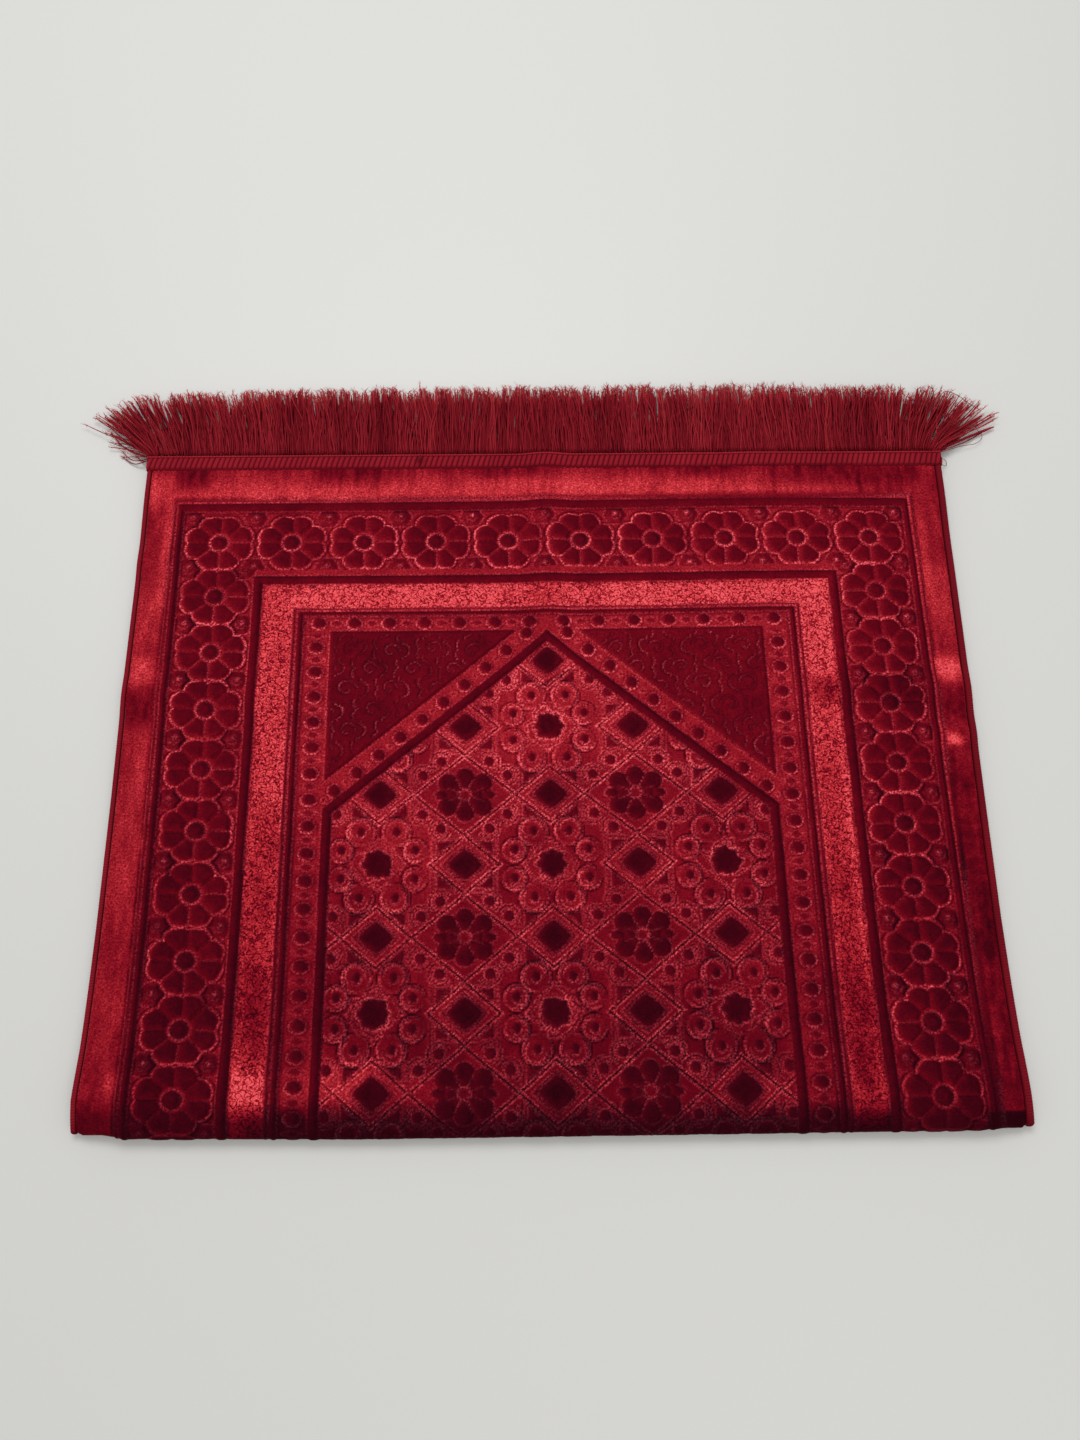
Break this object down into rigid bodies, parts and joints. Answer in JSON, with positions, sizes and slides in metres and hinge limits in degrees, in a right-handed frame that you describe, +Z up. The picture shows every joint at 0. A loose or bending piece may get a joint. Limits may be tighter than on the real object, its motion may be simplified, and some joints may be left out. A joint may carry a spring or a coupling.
{
  "type": "prayer rug, folded once across its middle, with a fringe at each end",
  "caption": "Velvet prayer rug folded once across its middle and lying flat, carved pile out, with side bindings and end fringes.",
  "frame": {"origin": "middle of the folded rug's outline seen from above, on the floor", "axes": "+X across the rug from its left binding to its right one, +Y from the fold to the fringes, +Z up"},
  "size_m": [0.7822, 0.6416, 0.016],
  "materials": {
    "velvet": "cut velvet pile, carved",
    "binding": "overcast yarn",
    "heading": "oversewn yarn",
    "fringe": "loose twisted yarn"
  },
  "bodies": {
    "root": {"rug_cloth": "velvet", "binding_left": "binding", "binding_right": "binding", "fringe_heading_upper": "heading", "fringe_heading_under": "heading", "fringe_upper": "fringe", "fringe_under": "fringe"}
  },
  "joints": []
}
